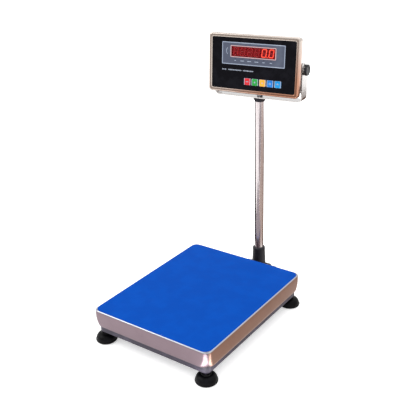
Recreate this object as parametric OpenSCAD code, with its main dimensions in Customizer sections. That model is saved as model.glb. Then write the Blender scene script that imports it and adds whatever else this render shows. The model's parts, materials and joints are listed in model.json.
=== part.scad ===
// Bench scale: a steel platform on a single-point load cell, with an indicator on a post.
// All sizes are in millimetres. +Z is up, +X is to the operator's right, +Y is to the back.
// The origin is on the floor, in the middle of the whole outline.

/* [Platform] */
// Width of the weighing platform, side to side
platform_w = 304; // [260:1:400]
// Depth of the weighing platform, front to back
platform_d = 380; // [330:1:500]
// Height of the platform's folded skirt
skirt_h = 37; // [34:0.5:40]
// Thickness of the platform's sheet
pan_t = 1.5; // [1:0.1:2]
// Outer radius of the platform's upright corners
pan_corner = 14; // [6:1:22]
// Thickness of the protective film
film_t = 0.3; // [0.2:0.1:0.5]
// Bare metal left around the film
film_inset = 2.5; // [1.5:0.5:6]

/* [Base frame] */
// Height of the frame's underside above the floor
frame_lift = 28; // [26:1:40]
// Width and height of the frame's square tube
rail = 25; // [22:1:30]
// Wall of the frame's square tube
rail_wall = 2; // [1.5:0.1:2.5]
// Distance from the platform's edge in to the frame's outer face
frame_inset = 5; // [4:0.5:8]
// Depth of the load-cell channel's underside below the frame's top
channel_sink = 25; // [22:1:30]
// Width of the channel that carries the load cell
channel_w = 64; // [50:1:80]
// Height of the channel's upturned flanges
channel_h = 22; // [12:1:24]
// Thickness of the channel's metal
channel_t = 4; // [3:0.5:5]

/* [Load cell] */
// Length of the load cell
cell_l = 130; // [120:1:150]
// Width of the load cell
cell_w = 30; // [25:1:40]
// Height of the load cell
cell_h = 22; // [20:1:26]
// Distance from each end of the load cell to its first bolt
cell_bolt_end = 10; // [8:0.5:12]
// Distance between the two bolts at one end
cell_bolt_gap = 15; // [12:0.5:20]
// Radius of the load cell's bolts
cell_bolt_r = 3; // [2.5:0.5:4]
// Thickness of the spacer under the fixed end
lower_spacer_t = 5.5; // [4:0.5:8]
// Thickness of the spacer on the free end
upper_spacer_t = 3; // [2:0.5:5]

/* [Deck] */
// Height of the deck's tubes
deck_h = 12; // [10:0.5:16]
// Width of the deck's tubes
deck_tube_w = 25; // [20:1:30]
// Wall of the deck's tubes
deck_wall = 1.5; // [1.2:0.1:2]
// Distance from the frame's side tubes in to the middle of the deck's side tubes
deck_tube_gap = 7; // [5:0.5:10]
// Depth of the plate that joins the deck's tubes
deck_plate_d = 160; // [150:1:190]
// Thickness of the rubber bumpers under the platform
bumper_t = 4; // [3:0.5:6]
// Radius of the rubber bumpers
bumper_r = 10; // [8:0.5:12]
// Gap between a stop screw and the deck
stop_gap = 1; // [0.6:0.1:1.5]

/* [Feet] */
// Widest radius of a rubber foot
foot_r = 24; // [20:0.5:28]
// Height of a rubber foot
foot_h = 21.5; // [18:0.5:22]
// Radius of a foot's threaded stud
stud_r = 5; // [4:0.5:6]
// Height of the lock nut under the frame
lock_nut_h = 5; // [4:0.5:6]
// Travel of a foot as it is screwed out
foot_travel = 10; // [6:1:12]

/* [Post] */
// Distance from the platform's rear edge back to the post's axis
post_setback = 66; // [60:1:90]
// Outer radius of the post
post_r = 11; // [10:0.5:14]
// Wall of the post
post_wall = 1.5; // [1.2:0.1:2]
// Height of the head's pivot above the platform
pivot_rise = 460; // [300:5:600]
// Radius of the socket's body
socket_r = 15.5; // [15:0.5:20]
// Height of the socket above the platform's top
socket_rise = 3; // [0:1:20]
// Width of the rear bracket
bracket_w = 84; // [76:1:100]
// Thickness of the rear bracket
bracket_t = 4; // [3:0.5:5]

/* [Head] */
// Width of the indicator head
head_w = 221; // [210:1:260]
// Height of the indicator head
head_h = 131; // [125:1:160]
// Distance from the pivot forward to the head's face
head_front = 40; // [36:0.5:45]
// Distance from the pivot back to the head's rear wall
head_back = 22; // [20:0.5:26]
// Height of the head's middle above the pivot
head_rise = 7; // [0:0.5:10]
// Depth of the bezel
bezel_d = 12; // [10:0.5:14]
// Distance that the bezel stands out beyond the rear housing
bezel_lip = 6; // [5:0.5:8]
// Thickness of the head's sheet metal
head_t = 1.5; // [1:0.1:2]
// Width of the bezel's border around the front panel
border = 8.5; // [7:0.5:10]
// Angle that the head is turned on the post
head_turn = 6; // [0:1:15]
// Angle that the head leans back
head_lean = 4; // [0:1:15]

/* [Keys] */
// Width of a key
key_w = 16; // [14:0.5:17]
// Height of a key
key_h = 15; // [12:0.5:17]
// Distance from one key to the next
key_pitch = 18.5; // [18.2:0.1:20]
// Travel of a key
key_travel = 0.8; // [0.4:0.1:0.8]
// Height of the keys' middle line above the lower edge of the bezel's opening
key_rise = 19; // [17:0.5:21]
// Distance of the middle key to the right of the head's middle
key_shift = 25; // [10:0.5:30]

/* [Hidden] */
$fn = 64;

// Clearances
slide_gap = 0.2;     // between pieces that slide past each other
run_gap = 0.05;      // all round a shaft that turns or travels in a hole
seat_gap = 0.1;      // between pieces that are only laid in place
over = 1;            // how far a cutter runs past the face it cuts

// Heights of the stack from the floor to the platform's top
frame_top = frame_lift + rail;
channel_z = frame_top - channel_sink;
channel_top = channel_z + channel_t;
cell_z = channel_top + lower_spacer_t;
cell_top = cell_z + cell_h;
deck_z = cell_top + upper_spacer_t;
deck_top = deck_z + deck_h;
pan_under = deck_top + bumper_t;
pan_top = pan_under + pan_t;
pan_bottom = pan_top - skirt_h;

// Base frame and deck
frame_w = platform_w - 2 * frame_inset;
frame_d = platform_d - 2 * frame_inset;
frame_corner = 16;
foot_x = frame_w / 2 - rail / 2;
foot_y = frame_d / 2 - rail / 2;
deck_x = frame_w / 2 - rail - deck_tube_gap;
deck_tube_l = frame_d - rail;
deck_rim = 4;
bumper_y = deck_tube_l / 2 - 2 * bumper_r;
stop_y = frame_d / 2 - 2 * rail / 3;
stop_r = 4;
stop_flats = 12;
stop_end = 6;
stop_nut_h = 4;
stop_head_h = 4;

// Feet
boss_r = 9;
boss_h = 10;
nut_flats = 17;
stud_top = frame_top - rail_wall - 3;
stud_sink = 9;
stud_play = 0.5;
neck_r = foot_r * 0.45;
rim_r = 4;
rim_h = 5;

// Load cell: bolts at the fixed end (rear) and at the free end (front)
cell_bore_r = 8;
cell_bore_gap = 26;
cell_slot = 3;
bolt_head_r = 5;
bolt_head_h = 4;
bolt_end = 2;
low_head_h = bumper_t - 1;
cell_bolt_y = [cell_l / 2 - cell_bolt_end, cell_l / 2 - cell_bolt_end - cell_bolt_gap];
spacer_l = cell_bolt_gap + 2 * cell_bolt_end;

// Post and rear bracket
post_y = platform_d / 2 + post_setback;
socket_flare = 2;
socket_base_t = 4;
socket_base_corner = 8;
socket_base_front = 30;
socket_base_back = socket_r + 1;
socket_round = 3;
socket_base_z = frame_lift;
socket_seat_z = socket_base_z + socket_base_t;
socket_top = pan_top + socket_rise;
bracket_z = frame_lift - bracket_t;
bracket_front = frame_d / 2 - rail - 8;
bracket_back = post_y + socket_base_back + 1;
bracket_flange_h = 12;
bracket_bolt_x = bracket_w / 2 - 12;
bolt_r = 3;
cable_hole_r = 5;
socket_bolt_x = socket_r + socket_flare + bolt_head_r + 0.5;
socket_bolt_gap = 20;
socket_bolt_front = socket_base_front - bolt_head_r - 3;
socket_base_w = 2 * (socket_bolt_x + bolt_head_r + 2);
clamp_z = [socket_top - 14, socket_top - 34];
clamp_head_y = socket_r + 3;
level_x = 28;
level_y = platform_d / 2 + 17;
level_r = 10;
level_h = 8;
window_r = 7.5;
window_h = 2.5;

// Head. Its own frame has X along its width, Y to its back and the pivot at its origin.
pivot_z = pan_top + pivot_rise;
head_corner = 7;
panel_corner = 3;
face = -head_front;
bezel_back = face + bezel_d;
open_w = head_w - 2 * border;
open_h = head_h - 2 * border;
tray_w = head_w - 2 * head_t;
tray_h = head_h - 2 * head_t;
panel_front = face + head_t;
panel_t = 2;
panel_back = panel_front + panel_t;
label_w = 154;
label_h = 50;
label_t = 0.5;
label_margin = 9.5;
label_rise = open_h / 2 - label_margin - label_h / 2;
window_w = 107;
window_tall = 22;
window_shift = 4.5;
window_rise = label_rise + window_shift;
window_t = 2;
window_front = panel_front - label_t;
small_corner = 1.5;
board_corner = 0.5;
digit_count = 6;
digit_pitch = 17.3;
digit_w = 16.5;
digit_h = 20;
digit_d = 7;
display_board_w = window_w + 14;
display_board_h = window_tall + 10;
gasket_t = 2;
flange_front = panel_back + gasket_t;
flange_gap = 1;
body_w = head_w - 2 * bezel_lip;
body_h = head_h - 2 * bezel_lip;
body_corner = 6;
back_inside = head_back - head_t;
board_t = 1.6;
board_side_gap = 14;
board_end_gap = 9;
main_board_w = body_w - 2 * head_t - 2 * board_side_gap;
main_board_h = body_h - 2 * head_t - 2 * board_end_gap;
main_board_y = -24;
board_back = main_board_y + board_t;
standoff_r = 3;
standoff_x = main_board_w / 2 - 6;
standoff_z = main_board_h / 2 - 6;
pillar_x = body_w / 2 - 8.5;
pillar_z = body_h / 2 - 8.5;
pillar_r = 3.5;
screw_r = 2;
screw_l = 8;
screw_head_r = 3.8;
screw_head_h = 2.4;
screw_slot = 0.9;
battery_w = 134;
battery_d = 34;
battery_h = 60;
battery_y = back_inside - battery_d - 2;
battery_floor_gap = 8;
battery_drop = body_h / 2 - head_t - battery_floor_gap - battery_h / 2;
strap_w = 20;
clamp_t = 1.2;
gland_side_gap = 22;
gland_floor_gap = 19.5;
gland_x = body_w / 2 - gland_side_gap;
gland_drop = body_h / 2 - gland_floor_gap;
gland_bore_r = 3.25;
gland_thread_r = 6;
gland_r = 8;
gland_flats = 15;
gland_l = 12;
gland_hex_l = 5;
gland_taper = 1.5;
gland_nut_h = 4;

// Keys, measured from the panel
key_front = face;
key_count = 5;
middle_key = (key_count - 1) / 2;
key_drop = open_h / 2 - key_rise;
key_flange_t = 1;
key_rim = 0.8;
key_stem_l = 0.8;
key_stem_r = 1.5;
key_flange_y = panel_back + seat_gap;
key_stem_y = key_flange_y + key_flange_t;
switch_y = key_stem_y + key_stem_l + key_travel + seat_gap;
switch_side = 6;
switch_h = 2.7;
key_board_y = switch_y + switch_h;
key_board_w = key_count * key_pitch + 8;
key_board_h = key_h + 6;

// Swivel, arms and knobs
strap_t = 2.5;
strap_d = 30;
washer_t = 1.75;
washer_r = 9;
arm_in = body_w / 2 + washer_t;
arm_out = arm_in + strap_t;
plate_gap = 3.5;
plate_drop = head_h / 2 + plate_gap;
plate_under = pivot_z - plate_drop - strap_t;
strap_bend = 8;
collar_h = 9.5;
collar_top_r = 15.5;
collar_bottom_r = post_r + 0.6;
collar_plug_l = 30;
tube_top = plate_under - collar_h - run_gap;
swivel_r = 4;
swivel_head_r = 6.5;
swivel_head_h = 5;
swivel_depth = 25;
pin_r = 3;
pin_depth = 7;
bush_r = 5;
bush_l = 8;
knob_r = 12.5;
knob_t = 6.5;
knob_washer_t = 1.5;
knob_x = arm_out + knob_washer_t;
knob_flutes = 8;
flute_r = 3.5;

// The outline reaches from the front feet back to the glands behind the head
front_reach = foot_y + foot_r;
rear_reach = post_y + (head_back + gland_l) * cos(head_turn) + gland_x * sin(head_turn);
middle_y = (rear_reach - front_reach) / 2;

// ---------------------------------------------------------------- shared shapes

// Everything is drawn around the platform's middle, then moved so the whole outline is centred
module on_floor() {
    translate([0, -middle_y, 0]) children();
}

// Bracket and head parts are drawn around the pivot
module on_swivel() {
    on_floor() translate([0, post_y, pivot_z]) rotate([0, 0, head_turn]) children();
}

module on_head() {
    on_swivel() rotate([-head_lean, 0, 0]) children();
}

// Head parts that are placed from the middle of the face
module on_face() {
    on_head() translate([0, 0, head_rise]) children();
}

module round_rect(w, h, r) {
    square([w - 2 * r, h], center = true);
    square([w, h - 2 * r], center = true);
    for (x = [-1, 1], y = [-1, 1]) translate([x * (w / 2 - r), y * (h / 2 - r)]) circle(r);
}

// The four corners of the head's face
module each_corner(x, z) {
    for (sx = [-1, 1], sz = [-1, 1]) translate([sx * x, 0, sz * z]) children();
}

// An upright block with rounded upright corners
module block(w, d, z0, z1, r) {
    translate([0, 0, z0]) linear_extrude(z1 - z0) round_rect(w, d, r);
}

// A plate that stands facing the operator, from depth y0 back to y1
module slab(w, h, y0, y1, r) {
    translate([0, y1, 0]) rotate([90, 0, 0]) linear_extrude(y1 - y0) round_rect(w, h, r);
}

// A box given by its middle in X and Y, and its lowest and highest Z
module bar(w, d, z0, z1) {
    translate([-w / 2, -d / 2, z0]) cube([w, d, z1 - z0]);
}

// A rod along Z, X or Y between two stations
module rod_z(r, z0, z1) {
    translate([0, 0, z0]) cylinder(r = r, h = z1 - z0);
}

module rod_x(r, x0, x1) {
    translate([x0, 0, 0]) rotate([0, 90, 0]) cylinder(r = r, h = x1 - x0);
}

module rod_y(r, y0, y1) {
    translate([0, y1, 0]) rotate([90, 0, 0]) cylinder(r = r, h = y1 - y0);
}

// A hexagonal nut or bolt head, across flats
module hex_z(flats, z0, z1) {
    translate([0, 0, z0]) cylinder(r = flats / sqrt(3), h = z1 - z0, $fn = 6);
}

module four(x, y) {
    for (sx = [-1, 1], sy = [-1, 1]) translate([sx * x, sy * y, 0]) children();
}

// ---------------------------------------------------------------- base frame and feet

// One straight tube of the frame, closed at both ends
module frame_tube(l) {
    difference() {
        bar(l, rail, frame_lift, frame_top);
        bar(l - 2 * rail_wall, rail - 2 * rail_wall, frame_lift + rail_wall, frame_top - rail_wall);
    }
}

module side_bar(s, w) {
    translate([s * foot_x, 0, 0]) bar(w, frame_d, frame_lift, frame_top);
}

// What lies inside the frame's rounded outline, shrunk by a wall on all sides
module within_frame(wall) {
    intersection() {
        block(
            frame_w - 2 * wall, frame_d - 2 * wall, frame_lift + wall, frame_top - wall, frame_corner - wall
        );
        children();
    }
}

// The side tubes run the whole depth, and the end tubes fit between them
module base_frame() color("#3b3642") on_floor() difference() {
    union() {
        for (s = [-1, 1]) {
            difference() {
                within_frame(0) side_bar(s, rail);
                within_frame(rail_wall) side_bar(s, rail - 2 * rail_wall);
            }
            translate([0, s * foot_y, 0]) frame_tube(frame_w - 2 * rail);
        }
        cell_channel();
    }
    four(foot_x, foot_y) rod_z(stud_r + stud_play, frame_lift - over, frame_lift + rail_wall + over);
    four(deck_x, stop_y) rod_z(stop_r, frame_top - rail_wall - over, frame_top + over);
    each_bracket_bolt() rod_z(bolt_r, frame_lift - over, frame_lift + rail_wall + over);
}

// Welded U-shaped channel, front to back, that carries the load cell
module cell_channel() {
    l = frame_d - 2 * rail;
    difference() {
        bar(channel_w, l, channel_z, channel_z + channel_h);
        bar(channel_w - 2 * channel_t, l + over, channel_top, channel_z + channel_h + over);
        for (y = cell_bolt_y) translate([0, y, 0])
            rod_z(cell_bolt_r, channel_z - over, channel_top + over);
    }
}

module foot_bosses() color("#8d8f94") on_floor() four(foot_x, foot_y) difference() {
    rod_z(boss_r, frame_lift + rail_wall, frame_lift + rail_wall + boss_h);
    rod_z(stud_r + run_gap, frame_lift, frame_top);
}

module foot_lock_nuts() color("#a5a8ad") on_floor() four(foot_x, foot_y) difference() {
    hex_z(nut_flats, frame_lift - lock_nut_h, frame_lift);
    rod_z(stud_r + run_gap, 0, frame_top);
}

module foot_stud(x, y) color("#a5a8ad") on_floor() translate([x * foot_x, y * foot_y, 0])
    rod_z(stud_r, foot_h - stud_sink, stud_top);

// Domed rubber foot: a flat sole, a round rim, and a dome up to its neck
module foot_pad(x, y) color("#151517") on_floor() translate([x * foot_x, y * foot_y, 0]) difference() {
    rotate_extrude() polygon(concat(
        [[0, 0]],
        [for (a = [-90 : 15 : -15]) [foot_r - rim_r + rim_r * cos(a), rim_h * (1 + sin(a))]],
        [for (a = [0 : 10 : 90]) [neck_r + (foot_r - neck_r) * cos(a), rim_h + (foot_h - rim_h) * sin(a)]],
        [[0, foot_h]]
    ));
    rod_z(stud_r, foot_h - stud_sink, foot_h + over);
}

// ---------------------------------------------------------------- load cell and deck

// Aluminium beam with two joined bores that leave four thin bending sections
module load_cell() color("#b9bcc0") on_floor() difference() {
    bar(cell_w, cell_l, cell_z, cell_top);
    for (s = [-1, 1]) translate([0, s * cell_bore_gap / 2, (cell_z + cell_top) / 2])
        rod_x(cell_bore_r, -cell_w, cell_w);
    translate([0, 0, (cell_z + cell_top) / 2])
        cube([cell_w + 2 * over, cell_bore_gap, cell_slot], center = true);
    for (y = cell_bolt_y, s = [-1, 1]) translate([0, s * y, 0])
        rod_z(cell_bolt_r, cell_z - over, cell_top + over);
}

// Plate with the two bolt holes of one end of the load cell; s is +1 at the rear
module cell_spacer(s, z0, z1) {
    difference() {
        translate([0, s * (cell_l - spacer_l) / 2, 0]) bar(cell_w, spacer_l, z0, z1);
        for (y = cell_bolt_y) translate([0, s * y, 0]) rod_z(cell_bolt_r, z0 - over, z1 + over);
    }
}

module lower_spacer() color("#77797f") on_floor() cell_spacer(1, channel_top, cell_z);

module upper_spacer() color("#77797f") on_floor() cell_spacer(-1, cell_top, deck_z);

module lower_cell_bolts() color("#a5a8ad") on_floor() for (y = cell_bolt_y) translate([0, y, 0]) {
    rod_z(cell_bolt_r, channel_z, cell_top - bolt_end);
    difference() {
        rod_z(bolt_head_r, channel_z - bolt_head_h, channel_z);
        hex_z(bolt_head_r, channel_z - bolt_head_h - over, channel_z - bolt_head_h / 2);
    }
}

module upper_cell_bolts() color("#a5a8ad") on_floor() for (y = cell_bolt_y) translate([0, -y, 0]) {
    rod_z(cell_bolt_r, cell_z + bolt_end, deck_top);
    difference() {
        rod_z(bolt_head_r, deck_top, deck_top + low_head_h);
        hex_z(bolt_head_r, deck_top + low_head_h / 2, deck_top + bumper_t);
    }
}

// Two tubes along the sides and a pressed plate between them, over the load cell
module deck_frame() color("#3b3642") on_floor() {
    inner = deck_wall;
    for (s = [-1, 1]) translate([s * deck_x, 0, 0]) difference() {
        bar(deck_tube_w, deck_tube_l, deck_z, deck_top);
        bar(deck_tube_w - 2 * inner, deck_tube_l - 2 * inner, deck_z + inner, deck_top - inner);
    }
    difference() {
        bar(2 * deck_x - deck_tube_w, deck_plate_d, deck_z, deck_top);
        for (s = [-1, 1]) deck_hollow(s);
        for (y = cell_bolt_y) translate([0, -y, 0])
            rod_z(cell_bolt_r, deck_z - over, deck_top + over);
    }
}

// Hollow under the deck's plate, between the load cell's seat and a side tube
module deck_hollow(s) {
    x0 = cell_w / 2 + deck_rim;
    x1 = deck_x - deck_tube_w / 2 - deck_rim;
    translate([s * (x0 + x1) / 2, 0, 0])
        bar(x1 - x0, deck_plate_d - 2 * deck_rim, deck_z - over, deck_top - deck_rim);
}

module pan_bumpers() color("#1b1b1d") on_floor() four(deck_x, bumper_y) rod_z(bumper_r, deck_top, pan_under);

module stop_screws() color("#a5a8ad") on_floor() four(deck_x, stop_y) {
    rod_z(stop_r, frame_top - rail_wall - stop_end, deck_z - stop_gap);
    hex_z(stop_flats, deck_z - stop_gap - stop_head_h, deck_z - stop_gap);
}

module stop_nuts() color("#a5a8ad") on_floor() four(deck_x, stop_y) difference() {
    hex_z(stop_flats, frame_top, frame_top + stop_nut_h);
    rod_z(stop_r, frame_top - over, deck_z);
}

// ---------------------------------------------------------------- platform

module pan() color("#a9a29f") on_floor() difference() {
    block(platform_w, platform_d, pan_bottom, pan_top, pan_corner);
    block(platform_w - 2 * pan_t, platform_d - 2 * pan_t, pan_bottom - over, pan_under, pan_corner - pan_t);
}

module protective_film() color("#0055c8") on_floor() {
    w = platform_w - 2 * film_inset;
    d = platform_d - 2 * film_inset;
    block(w, d, pan_top, pan_top + film_t, pan_corner - film_inset);
}

// ---------------------------------------------------------------- post

// Folded channel under the rear tube, open below, which carries the post behind the platform
module rear_bracket() color("#3b3642") on_floor() difference() {
    translate([0, (bracket_front + bracket_back) / 2, 0]) difference() {
        bar(bracket_w, bracket_back - bracket_front, bracket_z - bracket_flange_h, frame_lift);
        bar(bracket_w - 2 * bracket_t, platform_d, -over, bracket_z);
    }
    each_bracket_bolt() rod_z(bolt_r, bracket_z - over, frame_lift + over);
    each_socket_bolt() rod_z(bolt_r, bracket_z - over, frame_lift + over);
    translate([0, post_y, 0]) rod_z(cable_hole_r, bracket_z - over, frame_lift + over);
}

module each_bracket_bolt() {
    for (x = [-1, 1]) translate([x * bracket_bolt_x, foot_y, 0]) children();
}

// Two bolts on each side of the socket, in front of the post's axis
module each_socket_bolt() {
    for (x = [-1, 1], row = [0, 1])
        translate([x * socket_bolt_x, post_y - socket_bolt_front + row * socket_bolt_gap, 0]) children();
}

// Bolts that hold the bracket to the rear tube, with their nuts inside the tube
module bracket_bolts() color("#a5a8ad") on_floor() each_bracket_bolt() {
    rod_z(bolt_r, bracket_z, frame_lift + rail_wall);
    hex_z(2 * bolt_head_r, bracket_z - bolt_head_h, bracket_z);
    hex_z(2 * bolt_head_r, frame_lift + rail_wall, frame_lift + rail_wall + bolt_head_h);
}

module level_body() color("#c9cbce") on_floor() translate([level_x, level_y, 0]) difference() {
    rod_z(level_r, frame_lift, frame_lift + level_h);
    rod_z(window_r, frame_lift + level_h - window_h, frame_lift + level_h + over);
}

module level_window() color("#b7d64a") on_floor() translate([level_x, level_y, 0])
    rod_z(window_r, frame_lift + level_h - window_h, frame_lift + level_h);

// Foot plate, a body that widens downwards, a rounded lip, and a bore for the post
module post_socket() color("#1d1c22") on_floor() translate([0, post_y, 0]) difference() {
    union() {
        translate([0, (socket_base_back - socket_base_front) / 2, 0])
            block(socket_base_w, socket_base_front + socket_base_back,
                socket_base_z, socket_seat_z, socket_base_corner);
        rotate_extrude() polygon(concat(
            [[0, socket_seat_z], [socket_r + socket_flare, socket_seat_z], [socket_r, clamp_z[0]]],
            [for (a = [0 : 15 : 90]) [
                socket_r - socket_round * (1 - cos(a)),
                socket_top - socket_round * (1 - sin(a))
            ]],
            [[0, socket_top]]
        ));
    }
    rod_z(post_r + run_gap, socket_seat_z, socket_top + over);
    rod_z(cable_hole_r, socket_base_z - over, socket_seat_z + over);
    translate([0, -post_y, 0]) each_socket_bolt() rod_z(bolt_r, socket_base_z - over, socket_seat_z + over);
    for (z = clamp_z) translate([0, 0, z]) rod_y(bolt_r, 0, 2 * socket_r);
}

module socket_bolts() color("#a5a8ad") on_floor() each_socket_bolt() {
    rod_z(bolt_r, bracket_z, socket_seat_z);
    hex_z(2 * bolt_head_r, socket_seat_z, socket_seat_z + bolt_head_h);
    hex_z(2 * bolt_head_r, bracket_z - bolt_head_h, bracket_z);
}

// Two screws from behind that press on the post
module clamp_screws() color("#26262a") on_floor() for (z = clamp_z) translate([0, post_y, z]) difference() {
    union() {
        rod_y(bolt_r, post_r + seat_gap, clamp_head_y);
        rod_y(bolt_head_r, clamp_head_y, clamp_head_y + bolt_head_h);
    }
    translate([0, clamp_head_y + bolt_head_h / 2, 0]) rotate([-90, 0, 0]) hex_z(bolt_head_r, 0, bolt_head_h);
}

module post_tube() color("#c4c2c1") on_floor() translate([0, post_y, 0]) difference() {
    rod_z(post_r, socket_seat_z, tube_top);
    rod_z(post_r - post_wall, socket_seat_z - over, tube_top + over);
}

// ---------------------------------------------------------------- swivel and bracket of the head

// Tapered collar that sits on the post, with a plug that turns inside it
module swivel_collar() color("#1d1c22") on_swivel() translate([0, 0, -pivot_z]) difference() {
    rotate_extrude() polygon([
        [0, plate_under - collar_h - collar_plug_l],
        [post_r - post_wall - run_gap, plate_under - collar_h - collar_plug_l],
        [post_r - post_wall - run_gap, plate_under - collar_h],
        [collar_bottom_r, plate_under - collar_h],
        [collar_top_r, plate_under - collar_h / 3],
        [collar_top_r, plate_under],
        [0, plate_under]
    ]);
    rod_z(swivel_r, plate_under - swivel_depth, plate_under + over);
}

module swivel_screw() color("#a5a8ad") on_swivel() {
    rod_z(swivel_r, -plate_drop - strap_t - swivel_depth, -plate_drop);
    hex_z(2 * swivel_head_r, -plate_drop, -plate_drop + swivel_head_h);
}

// Bent strap: a plate over the collar and an arm up each side of the head
module u_bracket() color("#b5b3b1") on_swivel() difference() {
    union() {
        intersection() {
            translate([0, 0, -strap_t])
                slab(2 * arm_out, 2 * plate_drop, -strap_d / 2, strap_d / 2, strap_bend + strap_t);
            bar(3 * arm_out, strap_d, -plate_drop - strap_t, 0);
        }
        for (s = [-1, 1]) translate([s * (arm_in + arm_out) / 2, 0, 0])
            rod_x(strap_d / 2, -strap_t / 2, strap_t / 2);
    }
    intersection() {
        slab(2 * arm_in, 2 * plate_drop, -strap_d, strap_d, strap_bend);
        bar(2 * arm_in, 3 * strap_d, -plate_drop, over);
    }
    bar(2 * arm_in, 3 * strap_d, -over, strap_d);
    rod_x(pin_r + run_gap, -arm_out - over, arm_out + over);
    rod_z(swivel_r, -plate_drop - strap_t - over, -plate_drop + over);
}

module knob_washers() color("#b5b3b1") on_swivel() for (s = [-1, 1]) difference() {
    translate([s * (arm_out + knob_x) / 2, 0, 0])
        rod_x(washer_r, -knob_washer_t / 2, knob_washer_t / 2);
    rod_x(pin_r + run_gap, -2 * arm_out, 2 * arm_out);
}

// Fluted knob on a threaded pin that goes through the arm into the head
module knob(s) color("#1b1b1f") on_head() mirror([s < 0 ? 1 : 0, 0, 0]) {
    rod_x(pin_r, body_w / 2 - pin_depth, knob_x);
    difference() {
        rod_x(knob_r, knob_x, knob_x + knob_t);
        for (i = [0 : knob_flutes - 1]) rotate([i * 360 / knob_flutes, 0, 0])
            translate([0, 0, knob_r + flute_r / 2])
                rod_x(flute_r, knob_x + knob_t / 4, knob_x + knob_t + over);
    }
}

// ---------------------------------------------------------------- head, front half

module front_bezel() color("#b3a59e") on_face() difference() {
    slab(head_w, head_h, face, bezel_back, head_corner);
    slab(tray_w, tray_h, panel_front, bezel_back + over, head_corner - head_t);
    slab(open_w, open_h, face - over, panel_front + over, panel_corner);
}

module front_panel() color("#1c1c20") on_face() difference() {
    slab(tray_w - 2 * seat_gap, tray_h - 2 * seat_gap, panel_front, panel_back, head_corner - head_t);
    translate([0, 0, window_rise]) panel_hole(window_w + slide_gap, window_tall + slide_gap);
    for (i = [0 : key_count - 1]) key_place(i) panel_hole(key_w + 2 * slide_gap, key_h + 2 * slide_gap);
}

// Cutter for a hole through the panel and what lies on it
module panel_hole(w, h) {
    slab(w, h, face, panel_back + over, small_corner);
}

module display_label() color("#6c7482") on_face() difference() {
    translate([0, 0, label_rise]) slab(label_w, label_h, panel_front - label_t, panel_front, small_corner);
    translate([0, 0, window_rise]) panel_hole(window_w + slide_gap, window_tall + slide_gap);
}

module display_window() color("#8c1420") on_face() translate([0, 0, window_rise])
    slab(window_w, window_tall, window_front, window_front + window_t, small_corner - slide_gap / 2);

// Circuit board with its row of digit blocks behind the window
module display_module() color("#5a1a1c") on_face() translate([0, 0, window_rise]) {
    front = window_front + window_t + seat_gap;
    back = front + digit_d;
    for (i = [0 : digit_count - 1]) translate([(i - (digit_count - 1) / 2) * digit_pitch, 0, 0])
        slab(digit_w, digit_h, front, back, board_corner);
    slab(display_board_w, display_board_h, back, back + board_t, board_corner);
}

// ---------------------------------------------------------------- keys

module key_place(i) {
    translate([key_shift + (i - middle_key) * key_pitch, 0, -key_drop]) children();
}

// Key cap that stands through the panel, with a flange behind it and a stem to its switch
module key_cap(i, tint) color(tint) on_face() key_place(i) {
    slab(key_w, key_h, key_front, key_flange_y, small_corner - slide_gap);
    slab(key_w + 2 * key_rim, key_h + 2 * key_rim, key_flange_y, key_stem_y, small_corner - slide_gap);
    rod_y(key_stem_r, key_stem_y, key_stem_y + key_stem_l);
}

module key_board() color("#2c5b3a") on_face() {
    for (i = [0 : key_count - 1]) key_place(i)
        slab(switch_side, switch_side, switch_y, key_board_y, board_corner);
    key_place(middle_key)
        slab(key_board_w, key_board_h, key_board_y, key_board_y + board_t, board_corner);
}

// ---------------------------------------------------------------- head, inside and rear half

// A part on the control board: across its middle, up from its middle, and its three sizes
module board_part(x, z, w, h, d) {
    translate([x, 0, z]) slab(w, h, board_back, board_back + d, board_corner);
}

// Control board with its transformer, capacitors, processor and connectors
module main_board() color("#2c5b3a") on_face() {
    slab(main_board_w, main_board_h, main_board_y, board_back, board_corner);
    board_part(-60, 32, 30, 22, 14);
    board_part(20, 32, 16, 16, 2);
    board_part(58, 38, 34, 8, 9);
    for (x = [-25, -10]) translate([x, 0, 34]) rod_y(5, board_back, board_back + 14);
}

module board_standoffs() color("#c9b26a") on_face() each_corner(standoff_x, standoff_z)
    rod_y(standoff_r, panel_back, main_board_y);

module panel_pillars() color("#a5a8ad") on_face() each_corner(pillar_x, pillar_z) difference() {
    rod_y(pillar_r, panel_back, back_inside);
    rod_y(screw_r, back_inside - screw_l, back_inside + over);
}

// A plate as large as the housing's flange, and the housing's hollow, from depth y0 back to y1
module flange(y0, y1) {
    slab(tray_w - 2 * flange_gap, tray_h - 2 * flange_gap, y0, y1, head_corner - head_t);
}

module hollow(y0, y1) {
    slab(body_w - 2 * head_t, body_h - 2 * head_t, y0, y1, body_corner - head_t);
}

module housing_gasket() color("#18181a") on_face() difference() {
    flange(panel_back, flange_front);
    hollow(panel_back - over, flange_front + over);
}

module rear_housing() color("#bdbbb9") on_face() difference() {
    union() {
        slab(body_w, body_h, flange_front, head_back, body_corner);
        flange(flange_front, flange_front + head_t);
    }
    hollow(flange_front - over, back_inside);
    each_gland() rod_y(gland_thread_r, back_inside - over, head_back + over);
    each_corner(pillar_x, pillar_z) rod_y(screw_r, back_inside - over, head_back + over);
    translate([0, 0, -head_rise]) rod_x(bush_r, -body_w, body_w);
}

module housing_screws() color("#a5a8ad") on_face() each_corner(pillar_x, pillar_z) {
    rod_y(screw_r, back_inside - screw_l, head_back);
    difference() {
        rod_y(screw_head_r, head_back, head_back + screw_head_h);
        for (turn = [0, 90]) translate([0, head_back + screw_head_h, 0]) rotate([0, turn, 0])
            cube([screw_slot, screw_head_h, screw_head_r * 1.4], center = true);
    }
}

module battery() color("#3c3f45") on_face() translate([0, 0, -battery_drop])
    slab(battery_w, battery_h, battery_y, battery_y + battery_d, small_corner);

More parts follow.
